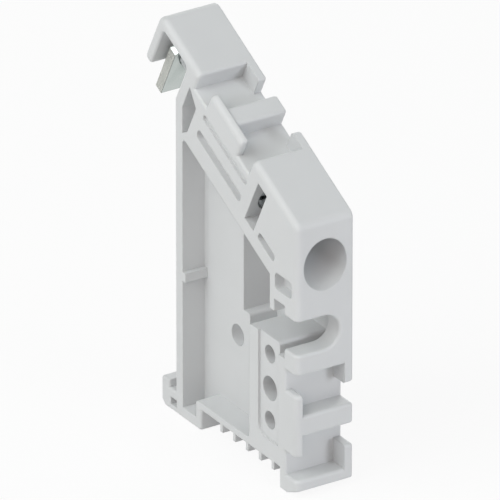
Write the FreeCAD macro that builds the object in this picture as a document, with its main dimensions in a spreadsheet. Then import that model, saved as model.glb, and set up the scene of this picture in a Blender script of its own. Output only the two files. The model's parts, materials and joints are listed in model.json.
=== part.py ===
import FreeCAD, Part
import math
import os
import re
import Sketcher

# DIN rail end stop with a screw clamp. All sizes are in millimetres.
# X runs from the rail's front plane to the front face, Y across the thin side, Z up along the rail's width.
# The origin is the underside of the foot, in the rail's front plane, at mid-thickness.

SIZES = {
    # Overall form of the housing
    "housing_width": (7.9, "thickness across Y"),
    "front_depth": (26.75, "rail plane to front face"),
    "top_height": (51.15, "height of the sharp rear corner of the sloped top"),
    "hook_back": (3.4, "that corner's distance behind the rail plane"),
    "slope_angle": (27.3, "fall of the sloped top and of the screw axis, in degrees"),
    # Foot that takes the rail's lower lip
    "nose_reach": (3.15, "nose, behind the rail plane"),
    "nose_top": (3.8, "height of the nose"),
    "nose_chamfer": (0.7, "lead-in under the nose"),
    "rail_gap": (1.4, "slot for the rail's lip"),
    "slot_floor": (2.8, "seat of the rail's lower edge"),
    "foot_front": (5.65, "front end of the foot"),
    "foot_relief_back": (1.0, "small relief in the nose, behind the rail plane"),
    "foot_relief_front": (0.3, "small relief in the nose, in front of the rail plane"),
    "foot_relief_low": (0.8, "lower edge of that relief"),
    "foot_relief_high": (1.75, "upper edge of that relief"),
    "foot_relief_depth": (0.8, "depth of that relief"),
    "foot_well_floor": (1.5, "floor of the recess inside the foot"),
    "foot_well_front": (4.64, "front end of the recess inside the foot"),
    # Lower band with its grip ribs
    "band_low": (2.7, "underside of the band"),
    "band_high": (3.8, "upper side of the band"),
    "grip_start": (1.05, "toe to the nearest grip rib"),
    "grip_pitch": (2.83, "spacing of the grip ribs"),
    "grip_width": (0.55, "width of a grip rib"),
    "grip_drop": (0.8, "height of a grip rib"),
    "grip_count": (5, "number of grip ribs"),
    # Toe under the front face
    "toe_length": (3.8, "toe, back from the front face"),
    "toe_slant": (2.3, "slanted end of its underside, back from the front face"),
    "toe_rise": (0.95, "rise of the underside at the front face"),
    # Marker groove in the front face
    "groove_depth": (2.5, "depth of both marker grooves"),
    "tray_floor": (2.3, "lower end of the groove"),
    "front_bar_low": (8.05, "lower side of the snap bar"),
    "front_bar_high": (10.75, "upper side of the snap bar"),
    "front_slab_low": (5.3, "lower end of the near cheek"),
    "front_slab_high": (13.4, "upper end of the near cheek"),
    "front_lug_low": (5.4, "top of the lower far cheek"),
    "front_lug_high": (13.5, "bottom of the upper far cheek"),
    "slab_thickness": (0.9, "thickness of the near cheeks"),
    "lug_thickness": (1.2, "thickness of the far cheeks"),
    "lip_low": (16.05, "upper end of the groove"),
    # U-shaped slot above it
    "lip_high": (18.75, "lower side of the U slot"),
    "slot_top": (23.1, "upper side of the U slot"),
    "slot_reach": (6.05, "closed end of the U slot, from the near side"),
    "lip_thickness": (2.6, "wall with the U slot"),
    # Block with the three holes
    "block_gap": (1.45, "gap between the block and the wall with the U slot"),
    "block_length": (6.3, "length of the block, back from that gap"),
    "block_top": (18.9, "top of the block"),
    "gap_floor": (17.5, "floor of the gap behind the U slot"),
    "pad_length": (4.3, "shallow panel round the holes, back from the gap"),
    "pad_low": (5.35, "lower edge of that panel"),
    "pad_depth": (0.28, "depth of that panel"),
    "pad_radius": (1.5, "radius of its lower rear corner"),
    "hole_low": (7.8, "height of the lowest hole"),
    "hole_middle": (12.0, "height of the middle hole"),
    "hole_high": (16.5, "height of the highest hole"),
    "hole_small": (2.25, "diameter of the outer holes"),
    "hole_large": (3.05, "diameter of the middle hole"),
    # Side recesses and the web between them
    "wall_thickness": (1.7, "rear wall"),
    "recess_depth": (3.05, "depth of each side recess"),
    "web_hole": (2.7, "diameter of the hole in the web"),
    "web_hole_depth": (9.1, "that hole from the rail plane"),
    "web_hole_height": (13.4, "height of that hole"),
    "wall_rib_reach": (0.65, "small cross rib on the rear wall"),
    "wall_rib_low": (18.2, "lower side of that rib"),
    "wall_rib_high": (19.4, "upper side of that rib"),
    "far_recess_overlap": (1.3, "reach of the far recess behind the block"),
    "far_recess_step": (13.8, "height where the far recess narrows"),
    "far_recess_rim": (0.4, "far recess past the hole in the web"),
    "far_recess_waist": (9.2, "front end of the far recess above that step"),
    # Deep chamber between web, block and head
    "chamber_back": (10.4, "rear wall of the chamber"),
    "chamber_ledge": (17.3, "ledge in the chamber"),
    "chamber_step": (11.8, "front end of the ledge"),
    "chamber_floor": (15.0, "floor of the chamber"),
    "far_wall": (1.1, "wall left on the far side"),
    "nib_place": (2.25, "nib under the head, back from the wall with the U slot"),
    "nib_thickness": (1.0, "thickness of the nib"),
    "nib_low": (22.8, "lower end of the nib"),
    "notch_top": (24.4, "top of the notch beside the nib"),
    # Head: hook, mouth for the clamp plate and screw tunnel, measured along and below the slope
    "arm_thickness": (1.6, "arm of the hook"),
    "arm_length": (7.7, "length of the arm"),
    "roof_thickness": (1.3, "roof between the arm and the mouth"),
    "mouth_place": (7.43, "mouth face along the slope"),
    "mouth_depth": (1.35, "depth of the plate's pocket behind the mouth"),
    "mouth_roof": (2.25, "top of that pocket below the slope"),
    "head_depth": (10.1, "underside of the head below the slope"),
    "axis_depth": (5.1, "screw axis below the slope"),
    "bore_diameter": (5.9, "driver bore"),
    "head_clearance": (0.1, "gap round the screw's head in its pocket"),
    "tunnel_diameter": (3.2, "clearance hole for the shank"),
    "seat_place": (23.65, "screw seat along the slope"),
    # Marker groove in the sloped top, measured along and below the slope
    "top_groove_start": (9.9, "end of the hook block"),
    "top_groove_end": (23.3, "start of the front block"),
    "top_bar_start": (15.1, "snap bar"),
    "top_bar_end": (17.8, "end of the snap bar"),
    "top_bar_drop": (0.2, "top of the snap bar below the slope"),
    "top_slab_start": (12.9, "near cheek"),
    "top_slab_end": (20.5, "end of the near cheek"),
    "top_lug_end": (12.75, "end of the hook block's far cheek"),
    "top_lug_start": (20.9, "start of the front block's far cheek"),
    # Pockets in the near side of the head, measured along and below the slope
    "window_start": (25.4, "window into the driver bore"),
    "window_end": (27.5, "end of the window"),
    "window_high": (1.75, "upper end of the window"),
    "window_low": (8.2, "lower end of the window"),
    "window_depth": (5.6, "depth of the window, past the screw axis"),
    "rail_groove_start": (13.0, "two thin grooves beside the tunnel"),
    "rail_groove_end": (23.65, "end of these grooves"),
    "lower_groove_place": (6.8, "lower groove below the slope"),
    "lower_groove_width": (1.3, "width of the lower groove"),
    "lower_groove_depth": (0.8, "depth of the lower groove"),
    "upper_groove_place": (3.9, "upper groove below the slope"),
    "upper_groove_width": (0.85, "width of the upper groove"),
    "upper_groove_depth": (0.35, "depth of the upper groove"),
    "slit_start": (28.5, "short slit below the driver bore"),
    "slit_end": (32.4, "end of the slit"),
    "slit_place": (7.65, "slit below the slope"),
    "slit_width": (1.1, "width of the slit"),
    "slit_depth": (0.8, "depth of the slit"),
    "cup_place": (1.1, "small rectangular pocket, back from the front face"),
    "cup_length": (3.6, "length of that pocket"),
    "cup_low": (25.85, "lower edge of that pocket"),
    "cup_high": (27.95, "upper edge of that pocket"),
    "cup_depth": (1.2, "depth of that pocket"),
    "corner_pocket_start": (9.15, "three-cornered pocket behind the mouth"),
    "corner_pocket_end": (11.4, "front edge of that pocket"),
    "corner_pocket_high": (3.0, "top of that pocket below the slope"),
    "corner_pocket_side": (4.4, "top of its front edge"),
    "corner_pocket_low": (8.7, "bottom of its front edge"),
    "corner_pocket_floor": (37.7, "height of its lowest corner"),
    "corner_pocket_depth": (1.9, "depth of that pocket"),
    # Clamp plate
    "plate_thickness": (1.35, "sheet thickness"),
    "plate_width": (5.1, "width across Y"),
    "plate_drop": (6.0, "screw axis to the plate's tip"),
    "plate_rise": (2.7, "screw axis to the plate's top"),
    "plate_corner": (1.7, "slant of the plate's top corners"),
    "plate_clearance": (0.15, "gap on each side of the plate in its pocket"),
    "plate_place": (2.25, "rear face along the slope, clamp open"),
    # Clamping screw
    "screw_diameter": (3.0, "thread diameter"),
    "screw_length": (21.75, "length under the head"),
    "head_diameter": (5.5, "head diameter"),
    "head_height": (1.7, "head height"),
    "drive_width": (0.8, "width of the driver slot"),
    "drive_depth": (0.95, "depth of the driver slot"),
    "screw_point": (0.4, "chamfer at the screw's end"),
    "head_edge": (0.25, "rounding of the head's rim"),
    "thread_clearance": (0.05, "gap between the shank and the plate's hole"),
    # Moulded roundings
    "corner_round": (1.2, "rear corner of the hook and top of the front face"),
    "tip_round": (0.7, "tip of the hook"),
    "arm_round": (0.6, "inside the hook"),
    "small_round": (0.4, "smaller corners of the profile"),
    "edge_round": (0.8, "near-side edges along the slope and the front face"),
    "rim_round": (0.35, "other rims of the two side faces"),
    "recess_round": (0.5, "corners of recesses and pockets"),
    "slot_round": (0.35, "edges of the U slot"),
    # How far a cutting shape runs past the solid
    "cut_margin": (1.0, "overrun of cuts"),
}

doc = FreeCAD.newDocument("EndStop")
sheet = doc.addObject("Spreadsheet::Sheet", "Sizes")
for row, (alias, (size, note)) in enumerate(SIZES.items(), start=1):
    sheet.set(f"A{row}", alias.replace("_", " "))
    sheet.set(f"B{row}", str(size))
    sheet.set(f"C{row}", note)
    sheet.setAlias(f"B{row}", alias)
doc.recompute()


def linked(text):
    """Size names in an expression become references to the sheet's cells."""
    return re.sub(r"[a-z]+(?:_[a-z]+)+", lambda name: "Sizes." + name.group(), text)


def value(text):
    """The present number behind an expression."""
    return float(sheet.evalExpression(linked(text)))


# Places measured on the slope: along it from the sharp rear corner, and down below it

def slope_x(along, below="0"):
    return f"(({along}) * cos(slope_angle) - ({below}) * sin(slope_angle) - hook_back)"


def slope_z(along, below="0"):
    return f"(top_height - ({along}) * sin(slope_angle) - ({below}) * cos(slope_angle))"


def slope_point(along, below="0"):
    return slope_x(along, below), slope_z(along, below)


def height_at(x, below="0"):
    """Height of the line parallel to the slope, at a distance from the rail plane."""
    return f"(top_height - (({x}) + hook_back) * tan(slope_angle) - ({below}) / cos(slope_angle))"


def height_across(along, x="0"):
    """Height of the line square to the slope, at a distance from the rail plane."""
    return f"(top_height + (({x}) + hook_back) / tan(slope_angle) - ({along}) / sin(slope_angle))"


# Places in the side view that several pieces share

TOE_BACK = "(front_depth - toe_length)"
FRONT_GROOVE = "(front_depth - groove_depth)"
LIP_BACK = "(front_depth - lip_thickness)"
BLOCK_FRONT = f"({LIP_BACK} - block_gap)"
BLOCK_BACK = f"({BLOCK_FRONT} - block_length)"
HOLE_LINE = f"({BLOCK_FRONT} - pad_length / 2)"
NIB_BACK = f"({LIP_BACK} - nib_place - nib_thickness)"
TOP_CORNER = ("front_depth", height_at("front_depth"))


# Sketch and feature helpers

def new_body(name):
    body = doc.addObject("PartDesign::Body", name)
    body.Label = name
    return body


def new_sketch(body, name, plane="XZ_Plane", lift="0", origin=("0", "0"), turn="0"):
    """A sketch parallel to one of the body's planes, lifted along that plane's normal."""
    sketch = body.newObject("Sketcher::SketchObject", name)
    support = [item for item in body.Origin.OriginFeatures if item.Role == plane][0]
    sketch.AttachmentSupport = [(support, "")]
    sketch.MapMode = "FlatFace"
    sketch.AttachmentOffset = FreeCAD.Placement(
        FreeCAD.Vector(value(origin[0]), value(origin[1]), value(lift)),
        FreeCAD.Rotation(FreeCAD.Vector(0, 0, 1), value(turn)),
    )
    for path, text in zip(("Base.x", "Base.y", "Base.z", "Rotation.Angle"), (*origin, lift, turn)):
        sketch.setExpression("AttachmentOffset." + path, linked(text))
    return sketch


def slope_sketch(body, name, lift="0", below="0"):
    """A sketch whose first axis runs down the slope, at a distance below it."""
    return new_sketch(body, name, lift=lift, origin=slope_point("0", below), turn="-slope_angle")


def pin(sketch, edge, end, point):
    """Ties one end of an edge to a pair of expressions."""
    for kind, text in zip(("DistanceX", "DistanceY"), point):
        index = sketch.addConstraint(Sketcher.Constraint(kind, -1, 1, edge, end, value(text)))
        sketch.setExpression(f"Constraints[{index}]", linked(text))


def outline(sketch, points):
    """A closed run of straight edges through points given as expressions."""
    spots = [FreeCAD.Vector(value(x), value(y), 0) for x, y in points]
    edges = [
        sketch.addGeometry(Part.LineSegment(spot, spots[(index + 1) % len(spots)]), False)
        for index, spot in enumerate(spots)
    ]
    for edge, following in zip(edges, edges[1:] + edges[:1]):
        sketch.addConstraint(Sketcher.Constraint("Coincident", edge, 2, following, 1))
    for edge, point in zip(edges, points):
        pin(sketch, edge, 1, point)
    return sketch


def rectangle(sketch, low_x, low_y, high_x, high_y):
    return outline(sketch, [(low_x, low_y), (high_x, low_y), (high_x, high_y), (low_x, high_y)])


def circle(sketch, x, y, diameter):
    """A circle with its centre and diameter tied to expressions."""
    radius = value(diameter) / 2
    edge = sketch.addGeometry(Part.Circle(FreeCAD.Vector(value(x), value(y), 0), FreeCAD.Vector(0, 0, 1), radius))
    pin(sketch, edge, 3, (x, y))
    index = sketch.addConstraint(Sketcher.Constraint("Diameter", edge, 2 * radius))
    sketch.setExpression(f"Constraints[{index}]", linked(diameter))
    return sketch


def extrude(body, kind, sketch, length, reverse=False, centred=False):
    """A pad or a pocket from a sketch. A pad runs along the sketch's normal, a pocket against it."""
    feature = body.newObject("PartDesign::" + kind, sketch.Name.replace("Sketch", "") + kind)
    feature.Profile = (sketch, [""])
    feature.Length = value(length)
    feature.setExpression("Length", linked(length))
    feature.Reversed = reverse
    feature.Midplane = centred
    doc.recompute()
    return feature


def rounded(body, name, edges, radius):
    """A fillet on the body's present edges with the given names."""
    base = body.Tip
    fillet = body.newObject("PartDesign::Fillet", name)
    fillet.Base = (base, edges)
    fillet.Radius = value(radius)
    fillet.setExpression("Radius", linked(radius))
    body.Tip = fillet
    doc.recompute()
    return fillet


def cross_edges(body, points):
    """Names of the edges that run straight across the housing through the given side-view points."""
    spots = [FreeCAD.Vector(value(x), 0, value(z)) for x, z in points]
    names = []
    for number, edge in enumerate(body.Tip.Shape.Edges, start=1):
        low, high = edge.Vertexes[0].Point, edge.Vertexes[-1].Point
        level = FreeCAD.Vector(low.x, 0, low.z)
        straight = (FreeCAD.Vector(high.x, 0, high.z) - level).Length < 0.001
        if straight and min((level - spot).Length for spot in spots) < 0.01:
            names.append(f"Edge{number}")
    return names


def rim_edges(body):
    """Names of the edges that lie in the two side faces."""
    half = value("housing_width / 2")
    names = []
    for number, edge in enumerate(body.Tip.Shape.Edges, start=1):
        box = edge.BoundBox
        if box.YMax - box.YMin < 0.001 and abs(abs(box.YMax) - half) < 0.001:
            names.append(f"Edge{number}")
    return names


def outer_edges(body):
    """Names of the near-side edges along the slope, the front face and the back of the hook's arm."""
    angle = math.radians(value("slope_angle"))
    corner = FreeCAD.Vector(-value("hook_back"), 0, value("top_height"))
    down_slope = FreeCAD.Vector(math.cos(angle), 0, -math.sin(angle))
    square_to_slope = FreeCAD.Vector(math.sin(angle), 0, math.cos(angle))
    front = value("front_depth")

    def outside(point):
        place = FreeCAD.Vector(point.x, 0, point.z) - corner
        gaps = (place.dot(square_to_slope), place.dot(down_slope), point.x - front)
        return point.y < 0 and min(abs(gap) for gap in gaps) < 0.01

    shape = body.Tip.Shape
    return [
        name for name in rim_edges(body)
        if all(outside(vertex.Point) for vertex in shape.getElement(name).Vertexes)
    ]


def front_edges(body, low, high):
    """Names of the edges in the front face between two heights."""
    front, low, high = value("front_depth"), value(low), value(high)
    names = []
    for number, edge in enumerate(body.Tip.Shape.Edges, start=1):
        box = edge.BoundBox
        flat = abs(box.XMin - front) < 0.001 and abs(box.XMax - front) < 0.001
        if flat and box.ZMin > low - 0.01 and box.ZMax < high + 0.01:
            names.append(f"Edge{number}")
    return names


NEAR = "housing_width / 2"
FAR = "-housing_width / 2"


def near_pocket(body, sketch, depth):
    """A pocket cut from the near side face into the housing."""
    return extrude(body, "Pocket", sketch, depth)


def far_pocket(body, sketch, depth):
    """A pocket cut from the far side face into the housing."""
    return extrude(body, "Pocket", sketch, depth, reverse=True)


# Housing: one moulding


def small_corners():
    """Profile corners with a small rounding: foot, toe, snap bars, cheeks and the ends of both grooves."""
    return [
        ("foot_front", "0"),
        ("-nose_reach", "nose_top"),
        ("front_depth", "tray_floor"),
        ("front_depth", "front_bar_low"),
        ("front_depth", "front_bar_high"),
        ("front_depth", "lip_low"),
        slope_point("top_groove_end"),
        slope_point("top_bar_end", "top_bar_drop"),
        slope_point("top_bar_start", "top_bar_drop"),
        slope_point("top_groove_start"),
        slope_point("top_slab_start"),
        slope_point("top_slab_end"),
        slope_point("top_lug_start"),
        slope_point("top_lug_end"),
        ("front_depth", "front_slab_low"),
        ("front_depth", "front_slab_high"),
        ("front_depth", "front_lug_low"),
        ("front_depth", "front_lug_high"),
    ]


def housing_profile(body):
    """The full-width side profile, from the foot round the front and over the slope to the hook."""
    sketch = new_sketch(body, "ProfileSketch")
    outline(sketch, [
        ("nose_chamfer - nose_reach", "0"),
        ("foot_front", "0"),
        ("foot_front", "band_low"),
        (TOE_BACK, "band_low"),
        (TOE_BACK, "0"),
        ("front_depth - toe_slant", "0"),
        ("front_depth", "toe_rise"),
        ("front_depth", "tray_floor"),
        (FRONT_GROOVE, "tray_floor"),
        (FRONT_GROOVE, "front_bar_low"),
        ("front_depth", "front_bar_low"),
        ("front_depth", "front_bar_high"),
        (FRONT_GROOVE, "front_bar_high"),
        (FRONT_GROOVE, "lip_low"),
        ("front_depth", "lip_low"),
        TOP_CORNER,
        slope_point("top_groove_end"),
        slope_point("top_groove_end", "groove_depth"),
        slope_point("top_bar_end", "groove_depth"),
        slope_point("top_bar_end", "top_bar_drop"),
        slope_point("top_bar_start", "top_bar_drop"),
        slope_point("top_bar_start", "groove_depth"),
        slope_point("top_groove_start", "groove_depth"),
        slope_point("top_groove_start"),
        slope_point("0"),
        slope_point("0", "arm_length"),
        slope_point("arm_thickness", "arm_length"),
        slope_point("arm_thickness", "roof_thickness"),
        slope_point("mouth_place", "roof_thickness"),
        ("0", height_across("mouth_place")),
        ("0", "slot_floor"),
        ("-rail_gap", "slot_floor"),
        ("-rail_gap", "nose_top"),
        ("-nose_reach", "nose_top"),
        ("-nose_reach", "nose_chamfer"),
    ])
    extrude(body, "Pad", sketch, "housing_width", centred=True)


def marker_cheeks(body):
    """Cheeks that hold a marker tag in the two grooves: near side in the middle, far side at the ends."""
    near_inner = NEAR + " - slab_thickness"
    far_inner = FAR + " + lug_thickness"
    sketch = new_sketch(body, "FrontSlabSketch", lift=near_inner)
    root = FRONT_GROOVE + " - cut_margin"
    rectangle(sketch, root, "front_slab_low", "front_depth", "front_slab_high")
    extrude(body, "Pad", sketch, "slab_thickness")
    sketch = new_sketch(body, "FrontLugsSketch", lift=FAR)
    rectangle(sketch, root, "(toe_rise + tray_floor) / 2", "front_depth", "front_lug_low")
    rectangle(sketch, root, "front_lug_high", "front_depth", "lip_low + cut_margin")
    extrude(body, "Pad", sketch, "lug_thickness")
    sketch = slope_sketch(body, "TopSlabSketch", lift=near_inner)
    rectangle(sketch, "top_slab_start", "-groove_depth - cut_margin", "top_slab_end", "0")
    extrude(body, "Pad", sketch, "slab_thickness")
    sketch = slope_sketch(body, "TopLugsSketch", lift=FAR)
    rectangle(sketch, "top_groove_start - cut_margin", "-groove_depth - cut_margin", "top_lug_end", "0")
    rectangle(sketch, "top_lug_start", "-groove_depth - cut_margin", "top_groove_end + cut_margin", "0")
    extrude(body, "Pad", sketch, "lug_thickness")


def outer_roundings(body):
    """Roundings of the outer corners and rims, the largest first."""
    rounded(body, "CornerRound", cross_edges(body, [slope_point("0"), TOP_CORNER]), "corner_round")
    rounded(body, "EdgeRound", outer_edges(body), "min(edge_round; slab_thickness * 0.9)")
    tip = [slope_point("0", "arm_length"), slope_point("arm_thickness", "arm_length")]
    rounded(body, "TipRound", cross_edges(body, tip), "tip_round")
    inside = [slope_point("arm_thickness", "roof_thickness"), slope_point("mouth_place", "roof_thickness")]
    rounded(body, "ArmRound", cross_edges(body, inside), "arm_round")
    rounded(body, "SmallRound", cross_edges(body, small_corners()), "small_round")
    rounded(body, "RimRound", rim_edges(body), "rim_round")


def side_recesses(body):
    """The near and far recesses that leave a thin web between them."""
    sketch = new_sketch(body, "NearRecessSketch", lift=NEAR)
    outline(sketch, [
        ("wall_thickness", "foot_well_floor"),
        ("foot_well_front", "foot_well_floor"),
        ("foot_well_front", "band_high"),
        (BLOCK_BACK, "band_high"),
        (BLOCK_BACK, height_at(BLOCK_BACK, "head_depth")),
        ("wall_thickness", height_at("wall_thickness", "head_depth")),
    ])
    near_pocket(body, sketch, "recess_depth")
    corners = [
        ("foot_well_front", "band_high"),
        (BLOCK_BACK, "band_high"),
        ("wall_thickness", height_at("wall_thickness", "head_depth")),
    ]
    rounded(body, "RecessRound", cross_edges(body, corners), "recess_round")
    sketch = new_sketch(body, "FarRecessSketch", lift=FAR)
    rim_front = "web_hole_depth + web_hole / 2 + far_recess_rim"
    rim_top = "web_hole_height + web_hole / 2 + far_recess_rim"
    outline(sketch, [
        ("wall_thickness", "foot_well_floor"),
        ("foot_well_front", "foot_well_floor"),
        ("foot_well_front", "band_high"),
        (BLOCK_BACK + " + far_recess_overlap", "band_high"),
        (BLOCK_BACK + " + far_recess_overlap", "far_recess_step"),
        (rim_front, "far_recess_step"),
        (rim_front, rim_top),
        ("far_recess_waist", rim_top),
        ("far_recess_waist", height_at("far_recess_waist", "head_depth")),
        ("wall_thickness", height_at("wall_thickness", "head_depth")),
    ])
    far_pocket(body, sketch, "recess_depth")
    sketch = new_sketch(body, "WallRibSketch", lift=NEAR)
    rectangle(sketch, "wall_thickness / 2", "wall_rib_low", "wall_thickness + wall_rib_reach", "wall_rib_high")
    extrude(body, "Pad", sketch, "recess_depth", reverse=True)


def chamber(body):
    """The deep chamber between the web, the block and the head, open on the near side."""
    sketch = new_sketch(body, "ChamberSketch", lift=NEAR)
    outline(sketch, [
        ("chamber_back", "chamber_ledge"),
        ("chamber_step", "chamber_ledge"),
        ("chamber_step", "chamber_floor"),
        (BLOCK_BACK, "chamber_floor"),
        (BLOCK_BACK, "block_top"),
        (BLOCK_FRONT, "block_top"),
        (BLOCK_FRONT, "gap_floor"),
        (LIP_BACK, "gap_floor"),
        (LIP_BACK, "notch_top"),
        (NIB_BACK + " + nib_thickness", "notch_top"),
        (NIB_BACK + " + nib_thickness", "nib_low"),
        (NIB_BACK, "nib_low"),
        (NIB_BACK, height_at(NIB_BACK, "head_depth")),
        ("chamber_back", height_at("chamber_back", "head_depth")),
    ])
    near_pocket(body, sketch, "housing_width - far_wall")
    corners = [("chamber_step", "chamber_ledge"), (BLOCK_BACK, "block_top"), (BLOCK_FRONT, "block_top")]
    rounded(body, "ChamberRound", cross_edges(body, corners), "small_round")


def u_slot(body):
    """The slot through the front wall, open on the near side and round at its far end."""
    height = "(slot_top - lip_high)"
    centre_y = f"slot_reach - housing_width / 2 - {height} / 2"
    sketch = new_sketch(body, "SlotSketch", plane="YZ_Plane", lift="front_depth")
    rectangle(sketch, "-housing_width / 2 - cut_margin", "lip_high", centre_y, "slot_top")
    extrude(body, "Pocket", sketch, "lip_thickness")
    sketch = new_sketch(body, "SlotEndSketch", plane="YZ_Plane", lift="front_depth")
    circle(sketch, centre_y, "(slot_top + lip_high) / 2", height)
    extrude(body, "Pocket", sketch, "lip_thickness")
    rounded(body, "SlotRound", front_edges(body, "lip_high", "slot_top"), "slot_round")


def screw_tunnel(body):
    """Driver bore, seat and shank tunnel, turned about the screw axis."""
    sketch = slope_sketch(body, "TunnelSketch", below="axis_depth")
    end = "(front_depth + hook_back + bore_diameter) / cos(slope_angle)"
    head_pocket = "head_diameter / 2 + head_clearance"
    outline(sketch, [
        ("mouth_place", "0"),
        (end, "0"),
        (end, "bore_diameter / 2"),
        ("window_end", "bore_diameter / 2"),
        ("window_end", head_pocket),
        ("seat_place", head_pocket),
        ("seat_place", "tunnel_diameter / 2"),
        ("mouth_place", "tunnel_diameter / 2"),
    ])
    groove = body.newObject("PartDesign::Groove", "TunnelGroove")
    groove.Profile = (sketch, [""])
    groove.ReferenceAxis = (sketch, ["H_Axis"])
    groove.Angle = 360
    doc.recompute()


def plate_mouth(body):
    """The pocket behind the mouth face, between two side walls, where the clamp plate slides."""
    sketch = slope_sketch(body, "MouthSketch", lift="plate_width / 2 + plate_clearance")
    end = "mouth_place + mouth_depth"
    rectangle(sketch, "mouth_place - cut_margin", "-head_depth - cut_margin", end, "-mouth_roof")
    extrude(body, "Pocket", sketch, "plate_width + 2 * plate_clearance")


def hole_block(body):
    """The shallow panel with its three holes, and the hole in the web."""
    sketch = new_sketch(body, "PanelSketch", lift=NEAR)
    panel_back = BLOCK_FRONT + " - pad_length"
    rectangle(sketch, panel_back, "pad_low", BLOCK_FRONT, "block_top")
    near_pocket(body, sketch, "pad_depth")
    rounded(body, "PanelRound", cross_edges(body, [(panel_back, "pad_low")]), "pad_radius")
    sketch = new_sketch(body, "HolesSketch", lift=NEAR)
    circle(sketch, HOLE_LINE, "hole_low", "hole_small")
    circle(sketch, HOLE_LINE, "hole_middle", "hole_large")
    circle(sketch, HOLE_LINE, "hole_high", "hole_small")
    circle(sketch, "web_hole_depth", "web_hole_height", "web_hole")
    near_pocket(body, sketch, "housing_width + cut_margin")


def round_groove(body, name, start, end, sizes):
    """A groove along the slope with rounded ends, from the place, width and depth in its named sizes."""
    low = f"{sizes}_place + {sizes}_width / 2"
    high = f"{sizes}_place - {sizes}_width / 2"
    sketch = slope_sketch(body, name + "Sketch", lift=NEAR)
    rectangle(sketch, start, f"-({low})", end, f"-({high})")
    near_pocket(body, sketch, sizes + "_depth")
    corners = [slope_point(along, below) for along in (start, end) for below in (low, high)]
    rounded(body, name + "Round", cross_edges(body, corners), f"{sizes}_width * 0.45")


def head_pockets(body):
    """The window into the bore and the small pockets in the near side of the head."""
    sketch = slope_sketch(body, "WindowSketch", lift=NEAR)
    rectangle(sketch, "window_start", "-window_low", "window_end", "-window_high")
    near_pocket(body, sketch, "window_depth")
    round_groove(body, "LowerGroove", "rail_groove_start", "rail_groove_end", "lower_groove")
    round_groove(body, "UpperGroove", "rail_groove_start", "rail_groove_end", "upper_groove")
    round_groove(body, "Slit", "slit_start", "slit_end", "slit")
    sketch = new_sketch(body, "CupSketch", lift=NEAR)
    cup_front = "front_depth - cup_place"
    rectangle(sketch, cup_front + " - cup_length", "cup_low", cup_front, "cup_high")
    near_pocket(body, sketch, "cup_depth")
    corners = [(x, z) for x in (cup_front + " - cup_length", cup_front) for z in ("cup_low", "cup_high")]
    rounded(body, "CupRound", cross_edges(body, corners), "recess_round")
    sketch = new_sketch(body, "CornerPocketSketch", lift=NEAR)
    outline(sketch, [
        ("wall_thickness", "corner_pocket_floor"),
        slope_point("corner_pocket_end", "corner_pocket_low"),
        slope_point("corner_pocket_end", "corner_pocket_side"),
        slope_point("corner_pocket_start", "corner_pocket_high"),
        ("wall_thickness", height_across("corner_pocket_start", "wall_thickness")),
    ])
    near_pocket(body, sketch, "corner_pocket_depth")
    sketch = new_sketch(body, "FootReliefSketch", lift=NEAR)
    rectangle(sketch, "-foot_relief_back", "foot_relief_low", "foot_relief_front", "foot_relief_high")
    near_pocket(body, sketch, "foot_relief_depth")


def grip_ribs(body):
    """A row of cross ribs under the band."""
    sketch = new_sketch(body, "GripSketch")
    front = TOE_BACK + " - grip_start"
    rectangle(sketch, front + " - grip_width", "band_low - grip_drop", front, "(band_low + band_high) / 2")
    rib = extrude(body, "Pad", sketch, "housing_width", centred=True)
    row = body.newObject("PartDesign::LinearPattern", "GripRow")
    row.Originals = [rib]
    row.Direction = (sketch, ["H_Axis"])
    row.Reversed = True
    row.Length = value("grip_pitch * (grip_count - 1)")
    row.setExpression("Length", linked("grip_pitch * (grip_count - 1)"))
    row.Occurrences = int(value("grip_count"))
    row.setExpression("Occurrences", linked("grip_count"))
    # The ribs keep their own side faces, which stay sound whatever the sizes make of the faces beside them
    row.Refine = False
    body.Tip = row
    doc.recompute()


def make_housing():
    body = new_body("housing")
    housing_profile(body)
    marker_cheeks(body)
    outer_roundings(body)
    side_recesses(body)
    chamber(body)
    u_slot(body)
    screw_tunnel(body)
    plate_mouth(body)
    hole_block(body)
    head_pockets(body)
    grip_ribs(body)
    return body


# Metal pieces: each is modelled along its own X axis and then set on the screw axis

def set_on_axis(body, along):
    """Puts a body's own X axis on the screw axis, at a place along the slope."""
    place = (slope_x(along, "axis_depth"), "0", slope_z(along, "axis_depth"))
    body.Placement = FreeCAD.Placement(
        FreeCAD.Vector(*(value(text) for text in place)),
        FreeCAD.Rotation(FreeCAD.Vector(0, 1, 0), value("slope_angle")),
    )
    for path, text in zip(("Base.x", "Base.y", "Base.z", "Rotation.Angle"), (*place, "slope_angle")):
        body.setExpression("Placement." + path, linked(text))


def make_clamp_plate():
    """A flat stamped plate with slanted top corners, a straight tip and a threaded hole."""
    body = new_body("clamp_plate")
    half = "plate_width / 2"
    sketch = new_sketch(body, "PlateSketch", plane="YZ_Plane")
    outline(sketch, [
        ("-" + half, "-plate_drop"),
        (half, "-plate_drop"),
        (half, "plate_rise - plate_corner"),
        (half + " - plate_corner", "plate_rise"),
        ("plate_corner - " + half, "plate_rise"),
        ("-" + half, "plate_rise - plate_corner"),
    ])
    extrude(body, "Pad", sketch, "plate_thickness")
    sketch = new_sketch(body, "PlateHoleSketch", plane="YZ_Plane")
    circle(sketch, "0", "0", "screw_diameter + 2 * thread_clearance")
    extrude(body, "Pocket", sketch, "plate_thickness", reverse=True)
    set_on_axis(body, "plate_place")
    return body


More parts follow.
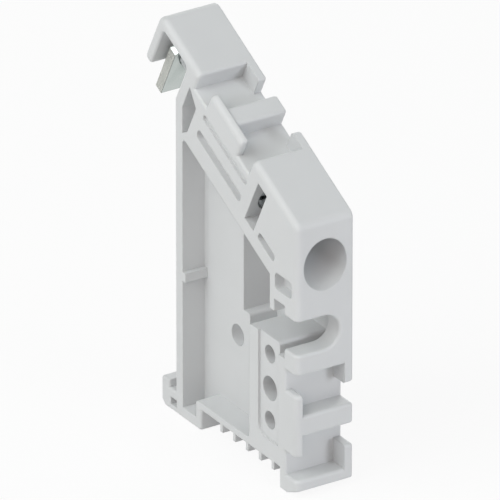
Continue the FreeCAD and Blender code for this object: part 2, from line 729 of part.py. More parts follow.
def make_clamp_screw():
    """A slotted cheese-head screw. Its head's underside is at the body's origin, its shank points back."""
    body = new_body("clamp_screw")
    sketch = new_sketch(body, "ScrewSketch")
    outline(sketch, [
        ("-screw_length", "0"),
        ("head_height", "0"),
        ("head_height", "head_diameter / 2 - head_edge"),
        ("head_height - head_edge", "head_diameter / 2"),
        ("0", "head_diameter / 2"),
        ("0", "screw_diameter / 2"),
        ("screw_point - screw_length", "screw_diameter / 2"),
        ("-screw_length", "screw_diameter / 2 - screw_point"),
    ])
    turned = body.newObject("PartDesign::Revolution", "ScrewRevolution")
    turned.Profile = (sketch, [""])
    turned.ReferenceAxis = (sketch, ["H_Axis"])
    turned.Angle = 360
    doc.recompute()
    sketch = new_sketch(body, "DriveSketch", plane="YZ_Plane", lift="head_height")
    rectangle(sketch, "-head_diameter", "-drive_width / 2", "head_diameter", "drive_width / 2")
    extrude(body, "Pocket", sketch, "drive_depth")
    set_on_axis(body, "seat_place")
    return body


def check(bodies):
    """Stops the build if any feature failed or any solid is not sound."""
    doc.recompute()
    for item in doc.Objects:
        if "Invalid" in item.State or "Error" in item.State:
            raise RuntimeError(f"{item.Name} failed: {item.State}")
        if item.isDerivedFrom("PartDesign::Feature") and not item.Shape.isValid():
            raise RuntimeError(f"{item.Name} is not a sound shape")
    for body in bodies:
        shape = body.Shape
        if shape.isNull() or not shape.isValid() or len(shape.Solids) != 1:
            raise RuntimeError(f"{body.Label} is not one sound solid")
        print(f"{body.Label}: {shape.Volume:.1f} cubic millimetres, {len(shape.Faces)} faces")


os.makedirs("parts", exist_ok=True)
bodies = [make_housing(), make_clamp_plate(), make_clamp_screw()]
check(bodies)
for body in bodies:
    body.Shape.exportStep(f"parts/{body.Label}.step")
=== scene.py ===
# %% [markdown]
# # A slim end stop for a 35 mm DIN rail
# The end stop grips a DIN rail and keeps a row of terminals from sliding along it. It is one light grey
# moulding, a small stamped clamp plate and the screw that draws the plate tight. The solids of all three are
# loaded first and stay where they are. What follows gives them their finishes, and makes again the two steel
# pieces whose fine form, a thread and softly broken edges, plain solids don't show.

# %% Load the solids
import json
import math

import bmesh
import bpy
from mathutils import Matrix, Vector


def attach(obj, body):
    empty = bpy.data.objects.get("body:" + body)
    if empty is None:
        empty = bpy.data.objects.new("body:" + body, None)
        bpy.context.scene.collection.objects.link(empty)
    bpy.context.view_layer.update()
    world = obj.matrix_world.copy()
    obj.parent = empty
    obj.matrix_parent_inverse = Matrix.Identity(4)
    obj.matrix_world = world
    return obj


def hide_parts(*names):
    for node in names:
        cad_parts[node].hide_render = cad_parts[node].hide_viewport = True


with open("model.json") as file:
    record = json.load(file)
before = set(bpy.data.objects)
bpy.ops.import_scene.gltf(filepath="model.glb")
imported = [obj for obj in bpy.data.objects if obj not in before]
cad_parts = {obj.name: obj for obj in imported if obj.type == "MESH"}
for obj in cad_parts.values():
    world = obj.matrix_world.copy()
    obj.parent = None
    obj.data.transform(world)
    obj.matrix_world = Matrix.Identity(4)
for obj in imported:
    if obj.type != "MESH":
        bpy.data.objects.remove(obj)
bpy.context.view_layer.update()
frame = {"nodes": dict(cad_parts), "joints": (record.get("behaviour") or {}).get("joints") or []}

# %% [markdown]
# ## The screw's line
# Everything is in metres, so a small constant for the millimetre keeps the numbers readable. The screw lies
# along the sloped top. Its joint already holds that line, so the place and the direction are read from it and
# not typed again. Positive turns drive the screw in, which points back towards the hook, so the way out
# towards the driver bore is the opposite direction.

# %% Millimetres and the screw's frame
MM = 0.001

screw_joint = next(joint for joint in frame["joints"] if joint["name"] == "screw_turn")
seat = Vector(screw_joint["pos_m"])
outward = -Vector(screw_joint["axis"]).normalized()
across = Vector((0, 1, 0))
upward = outward.cross(across)
screw_frame = Matrix.Translation(seat) @ Matrix((outward, across, upward)).transposed().to_4x4()
print("screw seat at", [round(value / MM, 2) for value in seat], "mm, slope",
      round(math.degrees(math.asin(-outward.z)), 2), "degrees")

# %% [markdown]
# ## Three small helpers
# A material or a Geometry Nodes tree is a graph: nodes with settings, fed by values or by other nodes. One
# helper adds a node with both, which keeps each tree below short enough to read from top to bottom. The second
# turns a colour as it is picked on a screen, sRGB hex, into the linear values that the shader wants. The third
# starts a material and hands out its tree and its shader.

# %% Helpers for node trees, colours and materials
def add_node(tree, kind, inputs=None, **settings):
    """Adds a node, sets its settings, and fills its inputs, by name or number, with values or links."""
    node = tree.nodes.new(kind)
    for name, setting in settings.items():
        setattr(node, name, setting)
    for key, source in (inputs or {}).items():
        if isinstance(source, bpy.types.NodeSocket):
            tree.links.new(source, node.inputs[key])
        else:
            node.inputs[key].default_value = source
    return node


def hex_colour(text):
    """Linear red, green, blue and alpha from an sRGB hex colour."""
    channels = [int(text[start:start + 2], 16) / 255 for start in (1, 3, 5)]
    return [c / 12.92 if c <= 0.04045 else ((c + 0.055) / 1.055) ** 2.4 for c in channels] + [1.0]


def new_material(name):
    """A new node material, with its tree and its shader."""
    material = bpy.data.materials.new(name)
    material.use_nodes = True
    return material, material.node_tree, material.node_tree.nodes["Principled BSDF"]


print("light grey in linear values:", [round(value, 3) for value in hex_colour("#D6D8D9")])

# %% [markdown]
# ## Moulded polyamide
# The housing is injection-moulded polyamide 6.6 in light grey. The mould was spark eroded, so the surface is
# not glossy: a fine, even grain a tenth of a millimetre across breaks up every reflection. Colour hardly
# varies. Only very broad, very weak clouds show, where the melt flowed and cooled at different speeds. The
# grain is bump, because it is far too shallow to be shape. A Bevel node rounds the shading of the inner
# edges, which on a moulding are never quite sharp. A noise keeps most of its values between 0.3 and 0.7, so
# that range is spread over the roughness that the grain gives.

# %% Material: spark-eroded moulded polyamide
NOISE_LOW, NOISE_HIGH = 0.3, 0.7
GRAIN = 0.1 * MM
GRAIN_DEPTH = 0.02 * MM
CLOUD = 7.0 * MM
INNER_EDGE = 0.2 * MM
POLYAMIDE_IOR = 1.53


def moulded_polyamide(name, light, dark, smoothest, roughest):
    """A satin moulding with fine grain, weak clouds of colour and softly shaded edges."""
    material, tree, shader = new_material(name)
    place = add_node(tree, "ShaderNodeTexCoord").outputs["Object"]
    clouds = add_node(tree, "ShaderNodeTexNoise", {
        "Vector": place, "Scale": 1 / CLOUD, "Detail": 3.0, "Roughness": 0.45}).outputs["Fac"]
    colour = add_node(tree, "ShaderNodeMix", {0: clouds, 6: hex_colour(dark), 7: hex_colour(light)},
                      data_type="RGBA")
    tree.links.new(colour.outputs[2], shader.inputs["Base Color"])
    grain = add_node(tree, "ShaderNodeTexNoise", {
        "Vector": place, "Scale": 1 / GRAIN, "Detail": 2.0, "Roughness": 0.6}).outputs["Fac"]
    satin = add_node(tree, "ShaderNodeMapRange", {
        "Value": grain, "From Min": NOISE_LOW, "From Max": NOISE_HIGH,
        "To Min": smoothest, "To Max": roughest})
    tree.links.new(satin.outputs["Result"], shader.inputs["Roughness"])
    edges = add_node(tree, "ShaderNodeBevel", {"Radius": INNER_EDGE}, samples=6)
    bump = add_node(tree, "ShaderNodeBump", {
        "Height": grain, "Normal": edges.outputs["Normal"], "Strength": 0.12, "Distance": GRAIN_DEPTH})
    tree.links.new(bump.outputs["Normal"], shader.inputs["Normal"])
    shader.inputs["IOR"].default_value = POLYAMIDE_IOR
    return material


grey_polyamide = moulded_polyamide("moulded_polyamide_light_grey", "#D6D8D9", "#D0D2D3",
                                   smoothest=0.44, roughest=0.56)
print("made", grey_polyamide.name)

# %% [markdown]
# ## Zinc plating
# Both steel pieces are zinc plated and clear passivated. A thin zinc layer is a silvery grey with a faint
# green cast, and it copies the surface under it. A plain metal shader would look like chrome or like paint.
# So one noise in patches a millimetre or two wide drives both the roughness and the tint, and the duller
# places are also a little paler. Rolled sheet is smooth, so the plate's flat faces mirror their surroundings
# softly. The screw was headed and rolled, which leaves it a little duller.

# %% Material: zinc-plated steel
PATCH = 1.5 * MM


def zinc_plate(name, light, dark, smoothest, roughest):
    """A plated metal whose tint and roughness drift in patches."""
    material, tree, shader = new_material(name)
    place = add_node(tree, "ShaderNodeTexCoord").outputs["Object"]
    patches = add_node(tree, "ShaderNodeTexNoise", {
        "Vector": place, "Scale": 1 / PATCH, "Detail": 4.0}).outputs["Fac"]
    colour = add_node(tree, "ShaderNodeMix", {0: patches, 6: hex_colour(dark), 7: hex_colour(light)},
                      data_type="RGBA")
    tree.links.new(colour.outputs[2], shader.inputs["Base Color"])
    rough = add_node(tree, "ShaderNodeMapRange", {
        "Value": patches, "From Min": NOISE_LOW, "From Max": NOISE_HIGH,
        "To Min": smoothest, "To Max": roughest})
    tree.links.new(rough.outputs["Result"], shader.inputs["Roughness"])
    shader.inputs["Metallic"].default_value = 1.0
    return material


plated_sheet = zinc_plate("zinc_plated_stamped_steel", "#C3C9C6", "#AFB7B4", smoothest=0.12, roughest=0.24)
plated_screw = zinc_plate("zinc_plated_rolled_steel", "#CDD0D0", "#AEB2B3", smoothest=0.24, roughest=0.38)
print("made", plated_sheet.name, "and", plated_screw.name)

# %% [markdown]
# ## Punched sides
# The plate was punched out of its sheet, and there the steel tore: the cut sides are dull, with fine streaks
# that run along them. On the thin bevel between a side and the flat face a dark line is painted, a painted
# dark reflection of the edge. The slanted top corners were coined smooth and stay bright. Faces could be sorted
# by hand and given materials of their own. One material that looks at the direction of each face does the same:
# flat faces look along the screw, slanted corners look up, and what looks to neither is a cut side.

# %% Torn sides and the painted dark reflection on the edge
SIDE_LIMIT = 0.3
# Where the bevel between a cut side and a flat face lies, which gets a painted dark reflection.
PAINTED_EDGE_MIDDLE, PAINTED_EDGE_REACH = 0.65, 0.32
STREAK = 0.12 * MM
STREAK_WIDTH = 0.25
STREAK_LOW, STREAK_HIGH = 0.38, 0.62
TORN_DEPTH = 0.04 * MM
TORN_ROUGHNESS = 0.55


def punched_sides(material, along, rise, light, dark, edge_reflection_colour):
    """Gives the sides that were cut their torn, streaky look, and paints a dark reflection on the edge beside
    them.
    """
    tree = material.node_tree
    shader = tree.nodes["Principled BSDF"]
    plated_colour, plated_rough = (
        shader.inputs[name].links[0].from_socket for name in ("Base Color", "Roughness"))
    normal = add_node(tree, "ShaderNodeNewGeometry").outputs["True Normal"]
    facing, upright = (
        add_node(tree, "ShaderNodeVectorMath", {0: normal, 1: way}, operation="DOT_PRODUCT").outputs["Value"]
        for way in (along, rise))
    flat = add_node(tree, "ShaderNodeMath", {0: facing}, operation="ABSOLUTE").outputs[0]
    either = add_node(tree, "ShaderNodeMath", {0: flat, 1: upright}, operation="MAXIMUM").outputs[0]
    cut = add_node(tree, "ShaderNodeMath", {0: either, 1: SIDE_LIMIT}, operation="LESS_THAN").outputs[0]

    place = add_node(tree, "ShaderNodeTexCoord").outputs["Object"]
    turned = add_node(tree, "ShaderNodeMapping", {
        "Vector": place, "Rotation": (0, math.asin(-along[2]), 0), "Scale": (STREAK_WIDTH, 1.0, 1.0)},
        vector_type="TEXTURE").outputs["Vector"]
    streaks = add_node(tree, "ShaderNodeTexNoise", {
        "Vector": turned, "Scale": 1 / STREAK, "Detail": 3.0, "Roughness": 0.7}).outputs["Fac"]
    spread = add_node(tree, "ShaderNodeMapRange", {
        "Value": streaks, "From Min": STREAK_LOW, "From Max": STREAK_HIGH})
    torn = add_node(tree, "ShaderNodeMix", {
        0: spread.outputs["Result"], 6: hex_colour(dark), 7: hex_colour(light)}, data_type="RGBA").outputs[2]
    sides = add_node(tree, "ShaderNodeMix", {0: cut, 6: plated_colour, 7: torn}, data_type="RGBA").outputs[2]

    # Painted dark reflection: a thin line on the bevel between a cut side and a flat face is painted dark.
    turning = add_node(tree, "ShaderNodeMath", {0: either, 1: PAINTED_EDGE_MIDDLE, 2: PAINTED_EDGE_REACH}, operation="COMPARE")
    low = add_node(tree, "ShaderNodeMath", {0: upright, 1: SIDE_LIMIT}, operation="LESS_THAN")
    painted_edge_reflection = add_node(tree, "ShaderNodeMath", {0: turning.outputs[0], 1: low.outputs[0]}, operation="MULTIPLY")
    colour = add_node(tree, "ShaderNodeMix", {0: painted_edge_reflection.outputs[0], 6: sides, 7: hex_colour(edge_reflection_colour)},
                      data_type="RGBA")
    tree.links.new(colour.outputs[2], shader.inputs["Base Color"])
    rough = add_node(tree, "ShaderNodeMix", {0: cut, 2: plated_rough, 3: TORN_ROUGHNESS})
    tree.links.new(rough.outputs[0], shader.inputs["Roughness"])
    height = add_node(tree, "ShaderNodeMath", {0: streaks, 1: cut}, operation="MULTIPLY").outputs[0]
    bump = add_node(tree, "ShaderNodeBump", {"Height": height, "Strength": 0.6, "Distance": TORN_DEPTH})
    tree.links.new(bump.outputs["Normal"], shader.inputs["Normal"])


# The last colour is a painted dark reflection along the bevelled edges.
punched_sides(plated_sheet, along=outward, rise=upward,
              light="#E4E5E0", dark="#80847F", edge_reflection_colour="#6F7471")
print("punched sides:", len(plated_sheet.node_tree.nodes), "nodes in", plated_sheet.name)

# %% [markdown]
# ## The housing keeps its solid
# The moulding is most of what one sees of the part. It could be made again here, but its solid is already
# exact, down to the rounded rims, and a second one could only lose by it. So the solid stays as it is, and
# only the material in its slot is new.

# %% Finish the housing
housing = frame["nodes"]["housing"]
housing.data.materials.clear()
housing.data.materials.append(grey_polyamide)
print("housing:", len(housing.data.polygons), "faces")

# %% [markdown]
# ## A rolled screw thread
# A metric thread is a V-shaped groove that climbs one pitch with each turn. It could be swept along a helix,
# but a sheet of points bent round the axis gives one closed skin. Each point's distance from the axis follows
# one rule: take the height along the screw, counted in pitches, and subtract the share of a turn. The
# fraction of that number says where the point lies between two crests. At both ends the thread fades out over
# a pitch, and the first and last rows shrink to the axis, which closes the skin. The rule is written as a
# table: each row names a value, the operation that gives it, and the values or numbers that go in.

# %% The thread's rule
ROOT_FLAT = 0.12
FLANK_GAIN = 1.3
END_ROW = 0.0005
THREAD_SIZES = ("Length", "Pitch", "Crest Radius", "Root Radius")
THREAD_RULE = (
    ("share", "ADD", "sheet x", 0.5),
    ("turn", "ADD", "sheet y", 0.5),
    ("along", "MULTIPLY", "share", "Length"),
    ("pitches", "DIVIDE", "along", "Pitch"),
    ("climbed", "SUBTRACT", "pitches", "turn"),
    ("phase", "FRACT", "climbed"),
    ("doubled", "MULTIPLY", "phase", 2.0),
    ("centred", "SUBTRACT", "doubled", 1.0),
    ("valley", "ABSOLUTE", "centred"),
    ("ridge", "SUBTRACT", 1.0, "valley"),
    ("above root", "SUBTRACT", "ridge", ROOT_FLAT),
    ("slope", "MULTIPLY", "above root", FLANK_GAIN),
    ("from root", "MAXIMUM", "slope", 0.0),
    ("flank", "MINIMUM", "from root", 1.0),
    ("left", "SUBTRACT", "Length", "along"),
    ("pitches left", "DIVIDE", "left", "Pitch"),
    ("nearer end", "MINIMUM", "pitches", "pitches left"),
    ("fade", "MINIMUM", "nearer end", 1.0),
    ("height", "MULTIPLY", "flank", "fade"),
    ("depth", "SUBTRACT", "Crest Radius", "Root Radius"),
    ("raised", "MULTIPLY", "height", "depth"),
    ("skin", "ADD", "Root Radius", "raised"),
    ("after start", "GREATER_THAN", "share", END_ROW),
    ("before end", "LESS_THAN", "share", 1 - END_ROW),
    ("between", "MULTIPLY", "after start", "before end"),
    ("radius", "MULTIPLY", "skin", "between"),
    ("angle", "MULTIPLY", "turn", 2 * math.pi),
    ("cosine", "COSINE", "angle"),
    ("sine", "SINE", "angle"),
    ("y", "MULTIPLY", "radius", "cosine"),
    ("z", "MULTIPLY", "radius", "sine"),
)
print("thread rule:", len(THREAD_RULE), "steps")

# %% [markdown]
# Geometry Nodes carry the rule out for every point at once, where mesh code would work point by point. The
# tree has the length, the pitch and the two radii as named inputs, so that it can make any such thread. It
# starts with a flat grid, one unit wide and one high, works through the rule, and moves each point to its
# place on the screw. Points that fall together are merged, which closes the seam along the rod and both ends.
# The sheet's upper side ends up on the inside of the rod, so all faces are flipped to point outwards.

# %% Geometry Nodes: thread skin
SAME_POINT = 0.001 * MM
POINTS_ROUND = 41


def thread_tree():
    """A tree that makes a threaded rod of the given length along X, closed at both ends."""
    tree = bpy.data.node_groups.new("rolled_thread", "GeometryNodeTree")
    sockets = [("Geometry", "Geometry")] + [(name, "Float") for name in THREAD_SIZES]
    for name, kind in sockets + [("Rows", "Int"), ("Material", "Material")]:
        tree.interface.new_socket(name, in_out="INPUT", socket_type="NodeSocket" + kind)
    tree.interface.new_socket("Geometry", in_out="OUTPUT", socket_type="NodeSocketGeometry")
    given = add_node(tree, "NodeGroupInput").outputs
    sheet = add_node(tree, "GeometryNodeMeshGrid", {
        "Size X": 1.0, "Size Y": 1.0, "Vertices X": given["Rows"], "Vertices Y": POINTS_ROUND})
    position = add_node(tree, "GeometryNodeInputPosition").outputs[0]
    parts = add_node(tree, "ShaderNodeSeparateXYZ", {0: position}).outputs
    values = {"sheet x": parts["X"], "sheet y": parts["Y"]}
    values.update((name, given[name]) for name in THREAD_SIZES)
    for name, operation, *terms in THREAD_RULE:
        inputs = {slot: values.get(term, term) for slot, term in enumerate(terms)}
        values[name] = add_node(tree, "ShaderNodeMath", inputs, operation=operation).outputs[0]
    spot = add_node(tree, "ShaderNodeCombineXYZ", {"X": values["along"], "Y": values["y"], "Z": values["z"]})
    bent = add_node(tree, "GeometryNodeSetPosition", {
        "Geometry": sheet.outputs["Mesh"], "Position": spot.outputs[0]})
    closed = add_node(tree, "GeometryNodeMergeByDistance", {
        "Geometry": bent.outputs[0], "Distance": SAME_POINT})
    facing_out = add_node(tree, "GeometryNodeFlipFaces", {"Mesh": closed.outputs[0]})
    smooth = add_node(tree, "GeometryNodeSetShadeSmooth", {
        "Geometry": facing_out.outputs[0], "Shade Smooth": True})
    real = add_node(tree, "GeometryNodeRealizeInstances", {"Geometry": smooth.outputs[0]})
    finished = add_node(tree, "GeometryNodeSetMaterial", {
        "Geometry": real.outputs[0], "Material": given["Material"]})
    add_node(tree, "NodeGroupOutput", {"Geometry": finished.outputs[0]})
    return tree


rolled_thread = thread_tree()
print("thread tree:", len(rolled_thread.nodes), "nodes")

# %% [markdown]
# The tree runs as a modifier on an object whose mesh is still empty. Each input is set by its socket's
# identifier, because the name alone isn't enough for a modifier. It is set before the object is first
# evaluated. The result is kept as a plain mesh, and the object with its modifier goes.

# %% The screw's shank
SCREW_DIAMETER = 3.0 * MM
SCREW_LENGTH = 21.75 * MM
THREAD_PITCH = 0.5 * MM
THREAD_DEPTH = 0.31 * MM
ROWS_PER_PITCH = 10


def placed(name, data):
    """A new object in the scene."""
    thing = bpy.data.objects.new(name, data)
    bpy.context.collection.objects.link(thing)
    return thing


def finished_mesh(thing):
    """What an object looks like with all its modifiers, as a plain mesh."""
    return bpy.data.meshes.new_from_object(thing.evaluated_get(bpy.context.evaluated_depsgraph_get()))


def threaded_rod(name, length, pitch, crest, root, material):
    """Runs the thread tree with the given sizes and returns the result as a plain mesh."""
    holder = placed(name, bpy.data.meshes.new(name))
    modifier = holder.modifiers.new("thread", "NODES")
    modifier.node_group = rolled_thread
    wanted = dict(zip(THREAD_SIZES, (length, pitch, crest, root)))
    wanted.update({"Rows": int(length / pitch * ROWS_PER_PITCH) + 1, "Material": material})
    for item in rolled_thread.interface.items_tree:
        if item.in_out == "INPUT" and item.name in wanted:
            modifier[item.identifier] = wanted[item.name]
    mesh = finished_mesh(holder)
    bpy.data.objects.remove(holder)
    return mesh


crest_radius = SCREW_DIAMETER / 2
shank_mesh = threaded_rod("shank", SCREW_LENGTH, THREAD_PITCH, crest_radius, crest_radius - THREAD_DEPTH,
                          plated_screw)
print("shank:", len(shank_mesh.polygons), "faces,", round(SCREW_LENGTH / THREAD_PITCH, 1), "turns")

# %% [markdown]
# ## A cheese head with a driver slot
# The head is turned round the same axis, so a half profile spun through a full circle makes it, with a small
# round on the rim. Stacked cylinders would do for the body but not for the round. The points on the axis and
# at the start of the circle fall together, so they are merged, and the faces are then turned outwards.

# %% A turned body
def spun(name, profile, steps):
    """A closed solid from a half profile of (place along X, radius) pairs, turned about the X axis."""
    mesh = bmesh.new()
    points = [mesh.verts.new((along, 0, radius)) for along, radius in profile]
    edges = [mesh.edges.new(pair) for pair in zip(points, points[1:])]
    bmesh.ops.spin(mesh, geom=points + edges, cent=(0, 0, 0), axis=(1, 0, 0), angle=2 * math.pi, steps=steps)
    bmesh.ops.remove_doubles(mesh, verts=mesh.verts, dist=SAME_POINT)
    bmesh.ops.recalc_face_normals(mesh, faces=mesh.faces)
    data = bpy.data.meshes.new(name)
    mesh.to_mesh(data)
    mesh.free()
    return data


HEAD_DIAMETER = 5.5 * MM
HEAD_HEIGHT = 1.7 * MM
HEAD_RIM = 0.25 * MM
UNDER_EDGE = 0.08 * MM
RIM_STEPS = 4
STEPS_ROUND = 72

head_radius = HEAD_DIAMETER / 2
rim_angles = [step * math.pi / 2 / RIM_STEPS for step in range(RIM_STEPS + 1)]
rim = [(HEAD_HEIGHT - HEAD_RIM + HEAD_RIM * math.sin(angle),
        head_radius - HEAD_RIM + HEAD_RIM * math.cos(angle)) for angle in rim_angles]
underside = [(0, 0), (0, head_radius - UNDER_EDGE), (UNDER_EDGE, head_radius)]
turned_head = spun("head", underside + rim + [(HEAD_HEIGHT, 0)], STEPS_ROUND)
print("turned head:", len(turned_head.polygons), "faces")

# %% [markdown]
# The driver slot could be built face by face. It is cut with a boolean, because that is how it reads on the
# real one: a straight saw cut right across the head. A narrow bevel then breaks the edges that the saw left.

# %% The driver slot
DRIVE_WIDTH = 0.8 * MM
DRIVE_DEPTH = 0.95 * MM
SAW_EDGE = 0.05 * MM


def break_edges(thing, width, segments, angle):
    """Bevels every edge where two faces turn from each other by more than the angle, in degrees."""
    bevel = thing.modifiers.new("broken_edges", "BEVEL")
    bevel.width = width
    bevel.segments = segments
    bevel.limit_method = "ANGLE"
    bevel.angle_limit = math.radians(angle)
    return bevel


def slotted(turned, material):
    """The turned head with its driver slot, as a plain mesh."""
    head = placed("head", turned)
    saw_cut = placed("saw_cut", bpy.data.meshes.new("saw_cut"))
    block = bmesh.new()
    bmesh.ops.create_cube(block, size=1.0)
    size = Matrix.Diagonal((2 * DRIVE_DEPTH, 2 * HEAD_DIAMETER, DRIVE_WIDTH, 1))
    block.transform(Matrix.Translation((HEAD_HEIGHT, 0, 0)) @ size)
    block.to_mesh(saw_cut.data)
    block.free()
    cut = head.modifiers.new("slot", "BOOLEAN")
    cut.object = saw_cut
    cut.solver = "EXACT"
    break_edges(head, SAW_EDGE, segments=2, angle=50)
    mesh = finished_mesh(head)
    for thing in (head, saw_cut):
        bpy.data.objects.remove(thing)
    mesh.materials.clear()
    mesh.materials.append(material)
    return mesh


head_mesh = slotted(turned_head, plated_screw)
print("head:", len(head_mesh.polygons), "faces")

# %% [markdown]
# The real head and shank are one piece of wire, upset at one end and rolled along the rest. They could stay
# two objects that move together, but one mesh stands for the one solid more plainly. It is put on the screw's
# line, whose first axis points out of the bore, and the shank runs the other way from the seat.

# %% One screw on its line
def joined(name, pieces):
    """One object from (mesh, matrix) pairs, with every place written into the mesh."""
    whole = bmesh.new()
    for mesh, matrix in pieces:
        part = mesh.copy()
        part.transform(matrix)
        whole.from_mesh(part)
        bpy.data.meshes.remove(part)
    data = bpy.data.meshes.new(name)
    whole.to_mesh(data)
    whole.free()
    for material in pieces[0][0].materials:
        data.materials.append(material)
    return placed(name, data)


shank_back = Matrix.Translation((-SCREW_LENGTH, 0, 0))
screw = joined("threaded_clamp_screw", [(head_mesh, screw_frame), (shank_mesh, screw_frame @ shank_back)])
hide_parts("clamp_screw")
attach(screw, "screw")
print("screw:", len(screw.data.polygons), "faces")

# %% [markdown]
# ## The stamped clamp plate
# The plate was punched from 1.35 mm sheet. Punching leaves one face with slightly rolled edges and plating
# rounds the rest, so no edge is sharp and each catches a thin line of light. It could be drawn again from its
# sizes, but a copy of the exact solid follows every change of it. The copy's loose triangles are merged back
# into flat faces, and a bevel breaks every edge.

# %% Soft-edged plate
PLATE_EDGE = 0.12 * MM
SAME_FACE = math.radians(1.5)


def soft_copy(name, node, edge, material):
    """A copy of a solid whose edges are broken, with its place in its mesh."""
    data = frame["nodes"][node].data.copy()
    data.name = name
    mesh = bmesh.new()
    mesh.from_mesh(data)
    bmesh.ops.remove_doubles(mesh, verts=mesh.verts, dist=SAME_POINT)
    bmesh.ops.dissolve_limit(mesh, angle_limit=SAME_FACE, verts=mesh.verts, edges=mesh.edges)
    mesh.to_mesh(data)
    mesh.free()
    data.materials.clear()
    data.materials.append(material)
    copy = placed(name, data)
    break_edges(copy, edge, segments=3, angle=40).harden_normals = True
    finished = finished_mesh(copy)
    copy.modifiers.clear()
    copy.data = finished
    return copy


plate = soft_copy("stamped_clamp_plate", "clamp_plate", PLATE_EDGE, plated_sheet)
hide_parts("clamp_plate")
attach(plate, "plate")
print("plate:", len(plate.data.polygons), "faces")

# %% [markdown]
# ## A white floor that keeps the shadow
# The photograph shows the part on plain white with soft light and no hard shadow. A white floor that is only
# matt would look grey, because the light is set for the part and not for the floor. So the floor glows white
# for the rays that come straight from the camera or by way of a reflection, with a share of matt white left
# in it, which carries a faint shadow. For all other rays it is matt.

# %% Floor
FLOOR_HALF = 3.0
GLOW_SHARE = 0.9


def seen_directly(tree):
    """One for rays from the camera, from a reflection or from a clear body, and zero for all others."""
    rays = add_node(tree, "ShaderNodeLightPath").outputs
    glossy = add_node(tree, "ShaderNodeMath", {0: rays["Is Camera Ray"], 1: rays["Is Glossy Ray"]},
                      operation="MAXIMUM")
    return add_node(tree, "ShaderNodeMath", {0: glossy.outputs[0], 1: rays["Is Transmission Ray"]},
                    operation="MAXIMUM").outputs[0]


def white_floor(name):
    """A matt floor that shows as white to the camera and in gloss, and still takes a soft shadow."""
    material, tree, shader = new_material(name)
    tree.nodes.remove(shader)
    matt = add_node(tree, "ShaderNodeBsdfDiffuse", {"Color": hex_colour("#F4F4F4")})
    glow = add_node(tree, "ShaderNodeEmission", {"Color": (1, 1, 1, 1), "Strength": 1.0})
    share = add_node(tree, "ShaderNodeMath", {0: seen_directly(tree), 1: GLOW_SHARE}, operation="MULTIPLY")
    mixed = add_node(tree, "ShaderNodeMixShader", {0: share.outputs[0], 1: matt.outputs[0], 2: glow.outputs[0]})
    tree.links.new(mixed.outputs[0], tree.nodes["Material Output"].inputs["Surface"])
    return material


floor_data = bpy.data.meshes.new("floor")
corners = [(x * FLOOR_HALF, y * FLOOR_HALF, 0) for x, y in ((-1, -1), (1, -1), (1, 1), (-1, 1))]
floor_data.from_pydata(corners, [], [(0, 1, 2, 3)])
floor_data.materials.append(white_floor("matt_white_floor"))
floor = placed("floor", floor_data)
print("floor:", 2 * FLOOR_HALF, "m square")

# %% [markdown]
# ## An even sky
# The walls of a studio are white, but they send only a little light into every recess of a small part. More
# lamps could stand in for the walls, but a sky comes from all sides at once. It does both: as a light it is
# weak, and seen by the camera or in a reflection it is white.

# %% Sky
def studio_sky(name, lit, seen):
    """A white sky that lights with one strength, and shows with another to the camera and in reflections."""
    sky = bpy.data.worlds.new(name)
    sky.use_nodes = True
    tree = sky.node_tree
    strength = add_node(tree, "ShaderNodeMath", {0: seen_directly(tree), 1: seen - lit, 2: lit},
                        operation="MULTIPLY_ADD")
    background = tree.nodes["Background"]
    tree.links.new(strength.outputs[0], background.inputs["Strength"])
    background.inputs["Color"].default_value = (1, 1, 1, 1)
    return sky


bpy.context.scene.world = studio_sky("even_white_sky", lit=0.22, seen=1.0)
bpy.context.scene.view_settings.view_transform = "Standard"
print("sky:", bpy.context.scene.world.name)

# %% [markdown]
# ## Soft lamps
# In the photograph the broad near side is the brightest, then the front face and the sloped top. The floors
# of the marker grooves are clearly darker, because the cheeks on the near side keep the light from them. So
# the key light is a wide softbox high on the near side. A second one hangs above and a little in front. A low
# one lifts the faces that look down the slope and the inside of the bore, and a weak warm one gives the inner
# walls their neutral grey. The last one lights the part from behind for the other views, and does little in
# the photograph's own. Area lamps do all of it, because a sun or a point lamp would draw hard shadows.

# %% Lamps
AIM = Vector((10.335, 0, 24.88)) * MM
LAMP_DISTANCE = 1.0


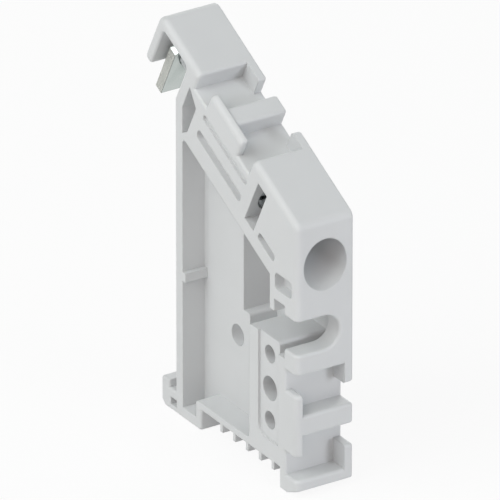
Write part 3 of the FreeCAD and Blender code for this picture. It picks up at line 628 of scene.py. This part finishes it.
def towards_view(azimuth, elevation):
    """Unit vector from the part, azimuth counted from the near side towards the front face, in degrees."""
    turn, rise = math.radians(azimuth), math.radians(elevation)
    return Vector((math.sin(turn) * math.cos(rise), -math.cos(turn) * math.cos(rise), math.sin(rise)))


def aimed(thing, direction, distance):
    """Puts a lamp or a camera in the given direction from the part, and turns it towards the part."""
    thing.location = AIM + direction * distance
    thing.rotation_euler = (-direction).to_track_quat("-Z", "Y").to_euler()


def soft_lamp(name, azimuth, elevation, side, power, colour):
    """A square area lamp, its side in metres and its power in watts, turned towards the part."""
    data = bpy.data.lights.new(name, "AREA")
    data.size = side
    data.energy = power
    data.color = colour
    aimed(placed(name, data), towards_view(azimuth, elevation), LAMP_DISTANCE)


soft_lamp("near_side_softbox", 0, 42, 0.9, 6.5, (0.97, 1.0, 0.99))
soft_lamp("top_softbox", 90, 68, 0.6, 1.6, (0.94, 1.0, 0.97))
soft_lamp("low_front_fill", 110, 7, 0.24, 2.5, (0.9, 0.93, 1.0))
soft_lamp("low_near_fill", 45, 25, 0.4, 0.95, (1.0, 0.75, 0.7))
soft_lamp("rear_fill", 225, 13, 0.4, 2.6, (1.0, 1.0, 1.0))
print("lamps:", len(bpy.data.lights))

# %% [markdown]
# ## A long lens
# Upright edges in the photograph stay parallel, and so do the edges that run away from the camera. An
# orthographic camera draws a part like that. A camera that is far off with a long lens does so too, and is
# the one that a photographer has, so it is used here. Its distance follows from the scale of the photograph,
# 8.5 pixels to a millimetre, because the lens, the sensor and the picture's side are known.

# %% Camera
PIXELS_PER_MM = 8.5
LENS = 1000.0
SENSOR = 36.0
IMAGE_SIDE = 500
VIEW_AZIMUTH, VIEW_ELEVATION = 57.7, 26.3

distance = LENS / SENSOR * IMAGE_SIDE / PIXELS_PER_MM * MM
lens = bpy.data.cameras.new("long_lens")
lens.lens = LENS
lens.sensor_width = SENSOR
lens.clip_end = 20.0
camera = placed("long_lens", lens)
aimed(camera, towards_view(VIEW_AZIMUTH, VIEW_ELEVATION), distance)
bpy.context.scene.camera = camera
print("camera:", round(distance, 3), "m away")
